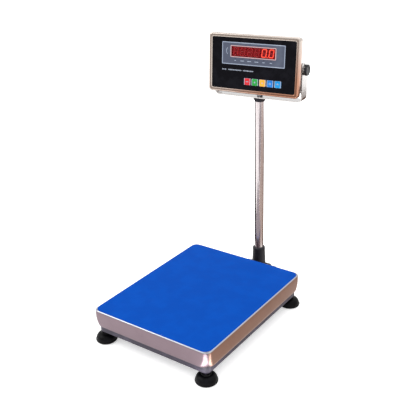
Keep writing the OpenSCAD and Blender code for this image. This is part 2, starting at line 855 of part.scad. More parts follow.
// Bent clamp over the battery, welded by its two ends to the rear wall
module battery_strap() color("#a5a8ad") on_face() translate([0, 0, -battery_drop]) difference() {
    front = battery_y - seat_gap;
    clear = battery_h + 2 * seat_gap;
    slab(strap_w, clear + 2 * clamp_t, front - clamp_t, back_inside, board_corner);
    slab(strap_w + 2 * over, clear, front, back_inside + over, board_corner);
}

// Hexagon outside the wall with a tapered cap, a thread through the wall, and a bore for a cable
module cable_glands() color("#1b1b1f") on_face() each_gland() difference() {
    union() {
        rod_y(gland_thread_r, back_inside - gland_nut_h - over, head_back);
        rotate([-90, 0, 0]) {
            hex_z(gland_flats, head_back, head_back + gland_hex_l);
            translate([0, 0, head_back + gland_hex_l])
                cylinder(r1 = gland_r, r2 = gland_r - gland_taper, h = gland_l - gland_hex_l);
        }
    }
    rod_y(gland_bore_r, 0, head_back + gland_l + over);
}

module gland_nuts() color("#1b1b1f") on_face() each_gland() difference() {
    rotate([-90, 0, 0]) hex_z(gland_flats, back_inside - gland_nut_h, back_inside);
    rod_y(gland_thread_r, 0, head_back);
}

module each_gland() {
    for (x = [-1, 1]) translate([x * gland_x, 0, -gland_drop]) children();
}

// Threaded bush in each side wall, with a flange inside the wall
module pivot_bushes() color("#a5a8ad") on_head() for (s = [-1, 1]) scale([s, 1, 1]) difference() {
    union() {
        rod_x(bush_r, body_w / 2 - bush_l, body_w / 2);
        rod_x(bush_r + head_t, body_w / 2 - 2 * head_t, body_w / 2 - head_t);
    }
    rod_x(pin_r + run_gap, body_w / 2 - bush_l - over, body_w / 2 + over);
}

module pivot_washers() color("#18181a") on_head() for (s = [-1, 1]) difference() {
    translate([s * (body_w / 2 + washer_t / 2), 0, 0]) rod_x(washer_r, -washer_t / 2, washer_t / 2);
    rod_x(pin_r + run_gap, -body_w, body_w);
}

// ---------------------------------------------------------------- the nodes

base_frame();
foot_bosses();
foot_lock_nuts();
foot_stud(-1, -1);  // foot_stud_front_left
foot_stud(1, -1);  // foot_stud_front_right
foot_stud(-1, 1);  // foot_stud_rear_left
foot_stud(1, 1);  // foot_stud_rear_right
foot_pad(-1, -1);  // foot_pad_front_left
foot_pad(1, -1);  // foot_pad_front_right
foot_pad(-1, 1);  // foot_pad_rear_left
foot_pad(1, 1);  // foot_pad_rear_right
load_cell();
lower_spacer();
upper_spacer();
lower_cell_bolts();
upper_cell_bolts();
deck_frame();
pan_bumpers();
stop_screws();
stop_nuts();
pan();
protective_film();
rear_bracket();
bracket_bolts();
level_body();
level_window();
post_socket();
socket_bolts();
clamp_screws();
post_tube();
swivel_collar();
u_bracket();
swivel_screw();
knob_washers();
knob(-1);  // knob_left
knob(1);  // knob_right
front_bezel();
front_panel();
display_label();
display_window();
display_module();
key_board();
key_cap(0, "#d62b33");  // key_1
key_cap(1, "#2f9a3f");  // key_2
key_cap(2, "#f0a83a");  // key_3
key_cap(3, "#2a86dc");  // key_4
key_cap(4, "#2a9ad6");  // key_5
main_board();
board_standoffs();
panel_pillars();
housing_gasket();
rear_housing();
housing_screws();
battery();
battery_strap();
cable_glands();
gland_nuts();
pivot_bushes();
pivot_washers();
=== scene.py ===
# %% [markdown]
# # A bench scale, piece by piece
# A bench scale is a steel tray on a load cell, four levelling feet, and an indicator head on a post.
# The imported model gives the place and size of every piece. This lesson gives the pieces their
# formed edges, small parts and finishes, and lights them on a pale floor.

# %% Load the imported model
import json
from math import asin, cos, pi, radians, sin

import bmesh
import bpy
from mathutils import Matrix, Vector

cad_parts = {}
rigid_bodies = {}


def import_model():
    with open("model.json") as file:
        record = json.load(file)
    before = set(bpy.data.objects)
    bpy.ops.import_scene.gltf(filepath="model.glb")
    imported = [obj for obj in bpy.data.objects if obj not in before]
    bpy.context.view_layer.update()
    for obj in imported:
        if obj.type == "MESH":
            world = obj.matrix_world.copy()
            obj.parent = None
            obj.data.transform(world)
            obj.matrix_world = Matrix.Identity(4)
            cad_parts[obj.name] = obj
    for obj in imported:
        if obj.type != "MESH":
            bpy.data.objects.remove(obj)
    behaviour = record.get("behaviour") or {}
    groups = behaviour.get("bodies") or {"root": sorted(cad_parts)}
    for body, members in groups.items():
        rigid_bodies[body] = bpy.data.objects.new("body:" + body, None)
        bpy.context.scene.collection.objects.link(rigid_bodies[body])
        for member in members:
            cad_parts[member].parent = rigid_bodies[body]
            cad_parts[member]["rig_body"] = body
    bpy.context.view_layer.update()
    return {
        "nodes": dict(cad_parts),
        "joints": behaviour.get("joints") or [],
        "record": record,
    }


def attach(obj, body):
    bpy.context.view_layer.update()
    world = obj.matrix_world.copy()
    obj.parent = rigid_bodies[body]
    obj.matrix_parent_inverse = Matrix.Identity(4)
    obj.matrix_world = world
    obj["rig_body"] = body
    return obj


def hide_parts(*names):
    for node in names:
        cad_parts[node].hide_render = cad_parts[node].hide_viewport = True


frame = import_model()
nodes = frame["nodes"]
joints = {joint["name"]: joint for joint in frame["joints"]}
slot_of = {part["node"]: part["material_slot"] for part in frame["record"]["subparts"]}

# %% [markdown]
# ## Working in millimetres, and in the head's own frame
# Blender's unit here is the metre, but a sheet-metal part is easier to think about in millimetres, so
# shapes are drawn in millimetres and shrunk at the end.
# The head is turned on its post and leans back. Its tilt axis and the direction in which a key moves
# give the head's own axes, so nothing has to be measured by eye.

# %% The head's axes
MM = 0.001
pivot = Vector(joints["head_tilt"]["pos_m"])
across = -Vector(joints["head_tilt"]["axis"])
inward = Vector(joints["key_3_press"]["axis"])


def placed(origin, x_axis, y_axis):
    """The matrix of a frame with this origin and these two axes."""
    turn = Matrix((x_axis, y_axis, x_axis.cross(y_axis))).transposed()
    return Matrix.Translation(origin) @ turn.to_4x4()


def shifted(x, y, z):
    """A move given in millimetres."""
    return Matrix.Translation(Vector((x, y, z)) * MM)


upright = Matrix.Identity(4)
head_place = placed(pivot, across, inward)
print("the head leans back", round(asin(-inward.z) * 180 / pi, 1), "degrees")

# %% Measure nodes in millimetres


def span(node, place=upright):
    """Lowest and highest corner of a node in millimetres, along the axes of a frame."""
    back = place.inverted()
    spots = [back @ corner.co for corner in nodes[node].data.vertices]
    low = [min(spot[axis] for spot in spots) / MM for axis in range(3)]
    high = [max(spot[axis] for spot in spots) / MM for axis in range(3)]
    return Vector(low), Vector(high)


bezel_low, bezel_high = span("front_bezel", head_place)
face_middle = (bezel_low + bezel_high) / 2
# The face frame: X to the right, Y up, Z out towards the operator, zero on the bezel's front.
face_place = head_place @ shifted(face_middle.x, bezel_low.y, face_middle.z) @ Matrix.Rotation(pi / 2, 4, "X")
print("bezel in mm:", [round(size, 1) for size in bezel_high - bezel_low])

# %% [markdown]
# ## Writing shader maths as Python
# A finish is built from noise, masks and mixes. Adding each Math node by hand hides the idea, so a small
# class wraps a socket: `1 - mask * 0.5` then adds its own nodes. Every other node comes from one method.

# %% Wrap a shader socket


class Value:
    """A socket of a finish. Arithmetic on it adds Math nodes."""

    def __init__(self, finish, socket):
        self.finish = finish
        self.socket = socket

    def math(self, operation, *numbers):
        return self.finish.node("Math", {"operation": operation}, dict(enumerate(numbers)))

    def __add__(self, other):
        return self.math("ADD", self, other)

    __radd__ = __add__

    def __mul__(self, other):
        return self.math("MULTIPLY", self, other)

    __rmul__ = __mul__

    def __sub__(self, other):
        return self.math("SUBTRACT", self, other)

    def __rsub__(self, other):
        return self.math("SUBTRACT", other, self)


# %% [markdown]
# A finish is one material. Its fixed values sit on the shader's own sockets, and its noise reads Object
# coordinates, so a pattern keeps its real size on every piece and never slides.

# %% Describe a finish
finishes = {}


def colour(hexadecimal):
    """A screen colour such as 0055c8 as the linear colour that the shader needs."""
    parts = [int(hexadecimal[i:i + 2], 16) / 255 for i in (0, 2, 4)]
    return [part / 12.92 if part < 0.04 else ((part + 0.055) / 1.055) ** 2.4 for part in parts] + [1.0]


class Finish:
    """A material with a Principled shader, named after the record's material slot."""

    def __init__(self, name, **fixed):
        self.material = bpy.data.materials.new(name)
        self.material.use_nodes = True
        self.tree = self.material.node_tree
        self.shader = self.tree.nodes["Principled BSDF"]
        for socket, number in fixed.items():
            self.shader.inputs[socket.replace("_", " ")].default_value = number
        self.here = self.node("TexCoord", {}, {}, "Object")
        finishes[name] = self

    def join(self, socket, value):
        """Links a value to a socket, or sets the socket to a plain number or colour."""
        if isinstance(value, Value):
            self.tree.links.new(value.socket, socket)
        else:
            socket.default_value = value

    def node(self, kind, settings, inputs, output=0):
        """Adds a node: its settings first, then the values or links of its sockets."""
        made = self.tree.nodes.new("ShaderNode" + kind)
        for setting, choice in settings.items():
            setattr(made, setting, choice)
        for socket, value in inputs.items():
            self.join(made.inputs[socket], value)
        return Value(self, made.outputs[output])

    def set(self, socket, value):
        self.join(self.shader.inputs[socket], value)

    def noise(self, size, detail=2.0, stretch=(1, 1, 1)):
        """Noise whose blobs are about `size` millimetres, stretched by these factors."""
        scale = [1 / (size * MM * factor) for factor in stretch]
        spot = self.node("Mapping", {}, {"Vector": self.here, "Scale": scale})
        return self.node("TexNoise", {}, {"Vector": spot, "Scale": 1.0, "Detail": detail})

    def ease(self, value, low, high):
        """0 below low, 1 above high, and smooth in between."""
        return self.node("MapRange", {"interpolation_type": "SMOOTHSTEP"},
                         {"Value": value, "From Min": low, "From Max": high})

    def tint(self, share, first, second):
        """A colour between two others."""
        return self.node("Mix", {"data_type": "RGBA"}, {0: share, 6: first, 7: second}, 2)

    def bump(self, height, depth):
        """Raises the surface by up to `depth` millimetres where height is 1."""
        self.set("Normal", self.node("Bump", {}, {"Height": height, "Distance": depth * MM}))

    def edges(self, radius):
        """1 on edges sharper than this radius in millimetres, and 0 on flat surface."""
        soft = self.node("Bevel", {"samples": 4}, {"Radius": radius * MM})
        true = self.node("NewGeometry", {}, {}, "Normal")
        flat = self.node("VectorMath", {"operation": "DOT_PRODUCT"}, {0: soft, 1: true}, "Value")
        return self.ease(1 - flat, 0.02, 0.2)


# %% [markdown]
# ## Metal finishes
# Brushed stainless steel is a bright metal covered with fine parallel scratches. Noise that is stretched a
# few hundred times along one axis gives such lines. They change the roughness and raise a very small bump,
# and slow clouds stand for the uneven polish and finger marks. The skirt and the head's walls are brushed
# level, so one pattern that only changes with height suits them all.

# %% Steel and zinc
ALONG_LEVEL = (60, 60, 0.35)
ALONG_UP = (0.35, 0.35, 60)


def brushed(name, direction, rough, grain=1.0):
    """Bare metal and the share of its lighter tone, which follows the scratches and clouds."""
    finish = Finish(name, Metallic=1.0)
    lines = finish.noise(1.0, 3.0, direction)
    clouds = finish.ease(finish.noise(45, 3.0), 0.3, 0.7)
    marks = finish.ease(finish.noise(9, 4.0), 0.52, 0.72)
    finish.set("Roughness", rough + lines * 0.14 * grain + clouds * 0.05 + marks * 0.04)
    finish.bump(lines, 0.02 * grain)
    return finish, lines * 0.5 + clouds * 0.5


def metal(name, dark, light, direction, rough, grain=1.0):
    finish, share = brushed(name, direction, rough, grain)
    finish.set("Base Color", finish.tint(share, colour(dark), colour(light)))


metal("post_steel", "bdb5b6", "cac3c4", ALONG_UP, 0.15, 0.04)
metal("bracket_steel", "c2bfbd", "d4d1cf", ALONG_LEVEL, 0.14, 0.6)
metal("head_steel", "f4f3f2", "fdfdfd", ALONG_LEVEL, 0.2, 0.7)
metal("spacer_steel", "70727a", "94969c", ALONG_LEVEL, 0.3)
metal("dark_zinc", "2c2932", "45414e", (4, 4, 4), 0.36, 0.5)
metal("zinc", "9da0a6", "c6c8cc", (4, 4, 4), 0.26, 0.5)
metal("cell_aluminium", "b9bcc2", "dcdee2", ALONG_LEVEL, 0.24)
metal("brass_nickel", "b09a5c", "d4c188", ALONG_UP, 0.2, 0.5)
print("metals:", sorted(finishes))

# %% [markdown]
# The tray's top fold is painted pale bluish grey, a painted highlight, and the skirt below is painted a warm
# purple-brown grey, a painted reflection of a dark floor. The right-hand face is painted a little browner,
# also a painted reflection, so a second slow gradient across the tray moves its tint.

# %% Painted highlight on the tray's fold and painted reflection on its skirt
tray_finish, _ = brushed("pan_steel", ALONG_LEVEL, 0.24)
sideways, upwards = (tray_finish.node("SeparateXYZ", {}, {"Vector": tray_finish.here}, axis) for axis in "XZ")
tray_top = span("pan")[1]
right_face_reflection = tray_finish.ease(sideways, (tray_top.x - 4) * MM, (tray_top.x - 1) * MM)
# painted reflection: the skirt's purple-brown tints stand in for a dark floor reflected in it, browner on the
# right-hand face
skirt_share = tray_finish.noise(1.0, 3.0, ALONG_LEVEL) * 0.6 + tray_finish.noise(60) * 0.6
front_reflection_tint = tray_finish.tint(skirt_share, colour("6a5a60"), colour("83737a"))
side_reflection_tint = tray_finish.tint(skirt_share, colour("80655c"), colour("a3877a"))
skirt = tray_finish.tint(right_face_reflection, front_reflection_tint, side_reflection_tint)
# painted highlight: the top two millimetres of the fold are painted pale bluish grey
fold_highlight_share = tray_finish.ease(upwards, (tray_top.z - 2.2) * MM, (tray_top.z - 0.9) * MM)
tray_finish.set("Base Color", tray_finish.tint(fold_highlight_share, skirt, colour("b4b8c0")))

# %% [markdown]
# The bezel is polished, not brushed, so it has hardly any grain. Its tint is a painted reflection: pale
# beige along the top, and pinker towards its lower right corner. A gradient across Object coordinates,
# broken up with a little noise, moves the tint from one to the other.

# %% Polished bezel
bezel, _ = brushed("bezel_steel", ALONG_LEVEL, 0.1, 0.3)
spread = bezel.node("SeparateXYZ", {}, {"Vector": bezel.here}, "X") * 2.2
height = bezel.node("SeparateXYZ", {}, {"Vector": bezel.here}, "Z") * 4.0
# painted reflection: pale beige towards the top and pinker towards the lower right, standing in for what the
# bezel reflects
lower_right_reflection = bezel.ease(spread - height + bezel.noise(30) * 0.12, -2.2, -1.75)
bezel.set("Base Color", bezel.tint(lower_right_reflection, colour("cabfb6"), colour("b08069")))

# %% [markdown]
# ## Painted steel
# The base and the deck are powder coated. The powder melts into a skin with a faint orange peel, which is
# a low bump about a millimetre across. Paint wears first on edges, so a mask from the Bevel node, broken
# up with noise, lets a little grey metal show there.

# %% Powder coat


def powder_coat(name, base, lighter, rough):
    finish = Finish(name, Specular_IOR_Level=0.25)
    peel = finish.noise(1.6, 2.0)
    dust = finish.ease(finish.noise(22, 4.0), 0.45, 0.75)
    worn = finish.edges(0.8) * finish.ease(finish.noise(4, 3.0), 0.55, 0.62)
    coat = finish.tint(dust, colour(base), colour(lighter))
    finish.set("Base Color", finish.tint(worn, coat, colour("8a8a90")))
    finish.set("Metallic", worn)
    finish.set("Roughness", rough + dust * 0.1 + peel * 0.08)
    finish.bump(peel, 0.05)


powder_coat("frame_paint", "37323e", "4a4553", 0.42)
powder_coat("black_paint", "1c1b22", "2a2931", 0.36)

# %% [markdown]
# ## Film, rubber and plastics
# The tray wears a blue protective film. It is smooth and a little glossy, it lifts in broad shallow
# waves, and fine scuffs catch the light. Rubber is the opposite: almost no gloss, a fine grain, and pale
# dust that settles in patches.

# %% Blue film
film = Finish("film", Specular_IOR_Level=0.02)
waves = film.noise(70, 2.0)
scuffs = film.ease(film.noise(3, 4.0, (6, 1, 1)), 0.62, 0.75)
mottle = film.ease(film.noise(30, 3.0), 0.35, 0.7)
blue = film.tint(mottle, colour("0045a4"), colour("0049aa"))
film.set("Base Color", film.tint(scuffs * 0.05, blue, colour("3f78c8")))
film.set("Roughness", 0.4 + scuffs * 0.12 + mottle * 0.04)
film.bump(waves + scuffs * 0.05, 0.12)

# %% Rubber and moulded plastics


def moulded(name, base, lighter, rough, grain, patch=14, gloss=0.3):
    """Plastic or rubber: two close tones in patches over a fine grain of this depth."""
    finish = Finish(name, Specular_IOR_Level=gloss)
    fine = finish.noise(0.5, 2.0)
    patches = finish.ease(finish.noise(patch, 4.0), 0.42, 0.72)
    finish.set("Base Color", finish.tint(patches, colour(base), colour(lighter)))
    finish.set("Roughness", rough + patches * 0.08 + fine * 0.05)
    finish.bump(fine, grain)
    return finish


moulded("foot_rubber", "020204", "09090e", 0.36, 0.04, gloss=0.1)
moulded("bumper_rubber", "151516", "222224", 0.6, 0.05)
moulded("black_plastic", "141418", "222228", 0.34, 0.02)
moulded("battery_case", "34373e", "464a52", 0.45, 0.04)
moulded("level_case", "cfd1d4", "e2e3e5", 0.25, 0.01)
moulded("display_dark", "4a0d12", "5a1217", 0.4, 0.01, 5)
print("plastics done,", len(finishes), "finishes so far")

# %% [markdown]
# The front panel, its label and the keys are one family: smooth printed film, which is glossy and very
# slightly wavy. The keys are the same with a brighter print and a clear dome over it.

# %% Printed films and keys


def printed(name, base, lighter, rough=0.22, gloss=0.2):
    return moulded(name, base, lighter, rough, 0.004, 25, gloss)


printed("panel_film", "09090e", "101016", 0.22, 0.08)
printed("label_film", "4b505f", "545a69", 0.3, 0.1)
printed("pale_print", "939dae", "a4adbb", 0.4)
printed("grey_print", "8e95a2", "9ea4b0", 0.4)
printed("dark_print", "23262e", "2d3039", 0.4)
printed("pink_print", "b9989a", "c6a6a6", 0.35)
printed("key_red", "c4272f", "d53440")
printed("key_green", "24913b", "35a44a")
printed("key_amber", "eb9f2d", "f6b444")
printed("key_blue", "106bbb", "1b78c8")
printed("key_cyan", "0f84c4", "1b92d0")

# %% [markdown]
# ## Light from inside, and clear pieces
# The digits that are on glow, and the ones that are off are dull red bars. The window in front of them is
# tinted plastic: its alpha lets the digits show, and the red base dims everything else.

# %% Glowing digits, windows and circuit boards
glow = moulded("digit_on", "ff4a38", "ff6a50", 0.4, 0.004, 2)
glow.shader.inputs["Emission Strength"].default_value = 1.1
uneven = glow.ease(glow.noise(1.2), 0.3, 0.8)
glow.set("Emission Color", glow.tint(uneven, colour("ff4030"), colour("ff6448")))
moulded("digit_off", "8a1d22", "96262a", 0.5, 0.004, 2)


def clear(name, base, alpha, rough):
    finish = moulded(name, base, base, rough, 0.002, 18, 0.1)
    smears = finish.ease(finish.noise(12, 3.0), 0.5, 0.8)
    finish.set("Alpha", alpha + smears * 0.04)


clear("window_red", "8c0f14", 0.3, 0.1)
clear("level_fluid", "b5d83e", 0.75, 0.06)

board = moulded("board_green", "1d4d2c", "2a6139", 0.35, 0.01, 6)
tracks = board.ease(board.noise(3, 0.0, (3, 3, 1)), 0.53, 0.55)
board.set("Base Color", board.tint(tracks, colour("1d4d2c"), colour("3c7a4a")))

for node, made in nodes.items():
    made.data.materials.clear()
    made.data.materials.append(finishes[slot_of[node]].material)
print(len(finishes), "finishes, and every node wears the one of its slot")

# %% [markdown]
# ## Tools for making pieces
# Three ways of making a piece cover this whole object.
# A *lathe* spins a profile, for feet and knobs.
# A *loft* bridges rounded outlines, for formed sheet such as the tray and the bezel.
# A *softened* node is a copy of a CAD node whose triangles are joined up and whose edges get a small
# live bevel, because no real edge is perfectly sharp.

# %% Turn a bmesh into a piece
SHARP = radians(38)


def make_piece(name, shape, place, like, wears=None, replaces=()):
    """A piece drawn in millimetres in the frame `place`, on the body of the node `like`."""
    for edge in shape.edges:
        edge.smooth = len(edge.link_faces) != 2 or edge.calc_face_angle(0) < SHARP
    for side in shape.faces:
        side.smooth = True
    shape.transform(place @ Matrix.Scale(MM, 4))
    mesh = bpy.data.meshes.new(name)
    shape.to_mesh(mesh)
    shape.free()
    made = bpy.data.objects.new(name, mesh)
    bpy.context.scene.collection.objects.link(made)
    for finish in wears or [slot_of[like]]:
        mesh.materials.append(finishes[finish].material)
    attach(made, nodes[like]["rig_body"])
    if replaces:
        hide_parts(*replaces)
    return made


# %% Outlines and lofts
CORNER_STEPS = 8
APART = 20.0


def outline(shape, width, depth, radius, level):
    """Adds a flat face with rounded corners and returns it."""
    made = bmesh.ops.create_grid(shape, x_segments=1, y_segments=1, size=0.5)
    corners = made["verts"]
    bmesh.ops.scale(shape, vec=(width, depth, 1), verts=corners)
    bmesh.ops.translate(shape, vec=(0, 0, level), verts=corners)
    rounded = bmesh.ops.bevel(
        shape, geom=corners, offset=radius, offset_type="OFFSET", affect="VERTICES",
        segments=CORNER_STEPS, profile=0.5, material=-1)
    return rounded["verts"][0].link_faces[0]


def loft(outlines, closed=False):
    """Bridges outlines (width, depth, corner radius, level) one after another.

    They are bridged while they stand well apart, and then each is moved to its own level.
    """
    shape = bmesh.new()
    faces = [outline(shape, *sizes[:3], APART * step) for step, sizes in enumerate(outlines)]
    corners = [list(face.verts) for face in faces]
    rims = [list(face.edges) for face in faces]
    for face in faces if closed else faces[1:-1]:
        shape.faces.remove(face)
    following = rims[1:] + rims[:1] * closed
    for rim, other in zip(rims, following):
        bmesh.ops.bridge_loops(shape, edges=rim + other)
    for step, (points, sizes) in enumerate(zip(corners, outlines)):
        bmesh.ops.translate(shape, vec=(0, 0, sizes[3] - APART * step), verts=points)
    bmesh.ops.recalc_face_normals(shape, faces=shape.faces)
    return shape


# %% Lathe
LATHE_STEPS = 64


def lathe(profile, steps=LATHE_STEPS):
    """Spins a profile of (radius, height) points about Z into a closed skin."""
    shape = bmesh.new()
    points = [shape.verts.new((radius, 0, height)) for radius, height in profile]
    lines = [shape.edges.new(pair) for pair in zip(points, points[1:])]
    bmesh.ops.spin(shape, geom=points + lines, axis=(0, 0, 1), cent=(0, 0, 0),
                   angle=2 * pi, steps=steps, use_merge=True)
    bmesh.ops.remove_doubles(shape, verts=shape.verts, dist=0.001)
    bmesh.ops.recalc_face_normals(shape, faces=shape.faces)
    return shape


def arc(middle_r, middle_z, radius, start, end, steps=6):
    """Profile points along an arc, from one angle in degrees to another."""
    turns = [radians(start + (end - start) * step / steps) for step in range(steps + 1)]
    return [(middle_r + radius * cos(turn), middle_z + radius * sin(turn)) for turn in turns]


# %% Soften a CAD node


def softened(node, width, segments=2, name=None):
    """A copy of a node with its triangles joined and a live bevel on its edges."""
    shape = bmesh.new()
    shape.from_mesh(nodes[node].data)
    bmesh.ops.remove_doubles(shape, verts=shape.verts, dist=0.002 * MM)
    bmesh.ops.dissolve_limit(shape, angle_limit=radians(0.5), verts=shape.verts, edges=shape.edges)
    shape.transform(Matrix.Scale(1 / MM, 4))
    made = make_piece(name or node + ".soft", shape, upright, node, replaces=[node])
    bevel = made.modifiers.new("Rounded edges", "BEVEL")
    bevel.width = width * MM
    bevel.segments = segments
    bevel.limit_method = "ANGLE"
    bevel.angle_limit = SHARP
    bevel.harden_normals = True
    return made


# %% [markdown]
# ## The tray
# The tray is one sheet of stainless steel, folded down on all sides. The fold has a radius of about
# twice the sheet. At each corner the skirt is drawn in: the corner's radius grows towards the hem, so
# the corner pulls in a little at the bottom. Cutting and folding a flat sheet would be slow, so the tray is
# lofted: each outline is one level of the skirt, first down the outside and then back up the inside.

# %% Folded tray with its drawn corners
pan_low, pan_high = span("pan")
pan_middle = (pan_low + pan_high) / 2
pan_w, pan_d, pan_deep = pan_high - pan_low
SHEET = 1.5
FOLD = 3.0
CORNER = 14.0
DRAWN = 14.0
HEM_CORNER = 24.0


def tray_corner(depth):
    """The corner's radius at a depth below the top: it grows below the first few millimetres."""
    share = min(max((depth - DRAWN) / (pan_deep - DRAWN), 0), 1)
    return CORNER + (HEM_CORNER - CORNER) * share ** 2


fold = [(FOLD * (1 - cos(radians(a))), FOLD * (1 - sin(radians(a)))) for a in range(90, -1, -18)]
levels = [12, 16, 20, 24, 28, 32, pan_deep - 1]
outer = [(FOLD + 1, 0)] + fold + [(0, level) for level in levels] + [(0.3, pan_deep)]
inner = [(SHEET, level) for level in [pan_deep, *reversed(levels), FOLD]] + [(FOLD + SHEET, SHEET)]
tray = loft([
    (pan_w - 2 * inset, pan_d - 2 * inset, tray_corner(depth) - min(inset, FOLD + 1), -depth)
    for inset, depth in outer + inner
])
make_piece("pan_tray", tray, shifted(pan_middle.x, pan_middle.y, pan_high.z), "pan", replaces=["pan"])
print("tray", round(pan_w), "x", round(pan_d), "mm, skirt", round(pan_deep), "mm")

# %% [markdown]
# ## Film on the tray
# The film is cut slightly smaller than the tray, which leaves a thin bright line of metal around it. It is
# a thin loft with a rounded top edge, so that its rim catches light instead of ending in a hard line.

# %% Protective film
film_low, film_high = span("protective_film")
film_w, film_d, film_t = film_high - film_low
FILM_CORNER = 17.0
cover = loft([
    (film_w, film_d, FILM_CORNER, 0.0),
    (film_w, film_d, FILM_CORNER, film_t * 0.6),
    (film_w - 0.3, film_d - 0.3, FILM_CORNER, film_t * 0.95),
    (film_w - 1.0, film_d - 1.0, FILM_CORNER, film_t),
])
make_piece("film_cover", cover, shifted(pan_middle.x, pan_middle.y, film_low.z),
           "protective_film", replaces=["protective_film"])
print("film", round(film_w), "x", round(film_d), "mm")

# %% [markdown]
# ## Base, deck and load cell
# Square tube has rounded edges, because it is rolled from strip. The CAD nodes have the right walls and
# holes, so copies of them with live bevels are enough: wide ones on the tubes, narrow ones on machined and
# turned parts.

# %% Rounded edges on the steelwork
SOFT_EDGES = {
    "base_frame": 2.2, "deck_frame": 1.2, "rear_bracket": 0.8, "load_cell": 0.5,
    "lower_spacer": 0.3, "upper_spacer": 0.3, "lower_cell_bolts": 0.25, "upper_cell_bolts": 0.25,
    "pan_bumpers": 0.8, "stop_screws": 0.3, "stop_nuts": 0.4, "foot_lock_nuts": 0.6,
    "foot_bosses": 0.4, "bracket_bolts": 0.4, "socket_bolts": 0.4, "clamp_screws": 0.3,
    "post_socket": 1.0, "level_body": 0.5, "u_bracket": 0.45, "swivel_screw": 0.4,
    "knob_washers": 0.3, "pivot_washers": 0.2, "rear_housing": 1.6, "housing_screws": 0.25,
    "cable_glands": 0.5, "gland_nuts": 0.3, "battery": 1.5, "battery_strap": 0.3,
    "panel_pillars": 0.2, "board_standoffs": 0.2, "pivot_bushes": 0.2,
}
for node, width in SOFT_EDGES.items():
    softened(node, width)
print(len(SOFT_EDGES), "nodes softened")

# %% [markdown]
# ## Feet
# A levelling foot is a moulded rubber dome on a threaded stud. Its sole has rings that grip the
# bench, its rim is thick and round, and its neck ends in a collar around the stud. All of it is round, so
# it is one lathe profile, read from the middle of the sole outwards and up.

# %% Rubber domes and threaded studs
THREAD_PITCH = 1.5
THREAD_DEPTH = 0.9
THREAD_START = 1.0
SOLE_RINGS = [6, 10, 14]
RING_W = 2.0
RING_DEPTH = 0.8
FOOT_RIM = 4.0
RIM_STEP = 1.0
NECK_SHARE = 0.45


def foot_profile(radius, height):
    """From the middle of the sole out to the rim, up the dome, and in over the collar."""
    neck = radius * NECK_SHARE
    grip = [point for ring_r in SOLE_RINGS for point in (
        (ring_r, 0), (ring_r + RING_W / 4, RING_DEPTH),
        (ring_r + RING_W * 3 / 4, RING_DEPTH), (ring_r + RING_W, 0))]
    rim_points = arc(radius - FOOT_RIM, FOOT_RIM, FOOT_RIM, -90, 20, 8)
    dome_r, dome_z = rim_points[-1]
    dome_w = dome_r - RIM_STEP - neck
    dome_h = height - 3.4 - dome_z
    turns = [radians(degrees) for degrees in range(0, 91, 9)]
    dome = [(neck + dome_w * cos(turn), dome_z + 0.6 + dome_h * sin(turn)) for turn in turns]
    dimple = height - 1
    collar = [(neck, height - 1.2), (neck - 0.8, height), (neck - 4, height), (neck - 5, dimple), (0, dimple)]
    return [(0, 0)] + grip + rim_points + dome + collar


def stud_profile(radius, length):
    """A core with one crest for each turn of the thread."""
    core = radius - THREAD_DEPTH
    turns = int((length - 2 * THREAD_START) / THREAD_PITCH)
    crests = [point for turn in range(turns) for point in (
        (core, THREAD_START + turn * THREAD_PITCH),
        (radius, THREAD_START + (turn + 0.35) * THREAD_PITCH),
        (radius, THREAD_START + (turn + 0.6) * THREAD_PITCH))]
    return [(0, 0), (core, 0)] + crests + [(core, length), (0, length)]


for corner in ("front_left", "front_right", "rear_left", "rear_right"):
    low, high = span("foot_pad_" + corner)
    middle = (low + high) / 2
    dome = lathe(foot_profile((high.x - low.x) / 2, high.z - low.z))
    make_piece("foot_dome_" + corner, dome, shifted(middle.x, middle.y, low.z),
               "foot_pad_" + corner, replaces=["foot_pad_" + corner])
    low, high = span("foot_stud_" + corner)
    stud_r = (high.x - low.x) / 2
    stud = lathe(stud_profile(stud_r, high.z - low.z), 32)
    make_piece("foot_thread_" + corner, stud, shifted(middle.x, middle.y, low.z),
               "foot_stud_" + corner, replaces=["foot_stud_" + corner])
print("four feet on studs of radius", round(stud_r, 1), "mm")

# %% [markdown]
# ## Post and collar
# The post is a polished tube. The collar on top of it is a moulded cone that widens up to the bracket, with
# a plug that turns inside the tube. Both are lathes. The tube's ends are finished with a small chamfer.

# %% Post and collar
low, high = span("post_tube")
post_r = (high.x - low.x) / 2
post_l = high.z - low.z
post_at = (low + high) / 2
POST_WALL = 1.5
CHAMFER = 0.3
tube = lathe([
    (post_r - POST_WALL, 0), (post_r - CHAMFER, 0), (post_r, CHAMFER), (post_r, post_l / 2),
    (post_r, post_l - CHAMFER), (post_r - CHAMFER, post_l), (post_r - POST_WALL, post_l),
    (post_r - POST_WALL, 0)])
make_piece("post_pipe", tube, shifted(post_at.x, post_at.y, low.z), "post_tube", replaces=["post_tube"])

low, high = span("swivel_collar")
collar_r = (high.x - low.x) / 2
collar_l = high.z - low.z
PLUG = 30.0
plug_r = post_r - POST_WALL - 0.06
cone = lathe([
    (0, 0), (plug_r - 0.84, 0), (plug_r, 1), (plug_r, PLUG - 0.01), (post_r + 0.5, PLUG),
    (post_r + 0.9, PLUG + 1.2), (collar_r - 0.9, collar_l - 3.6), (collar_r - 0.1, collar_l - 2.4),
    (collar_r, collar_l - 0.5), (collar_r - 0.4, collar_l), (0, collar_l)])
make_piece("collar_cone", cone, shifted(post_at.x, post_at.y, low.z),
           "swivel_collar", replaces=["swivel_collar"])
print("post radius", round(post_r, 1), "and length", round(post_l), "mm")

# %% [markdown]
# ## Bubble level
# A round level is a cup of tinted liquid under a clear lid, with a ring printed on the lid.
# The lid is a low dome, and the ring is a thin washer on top of it.

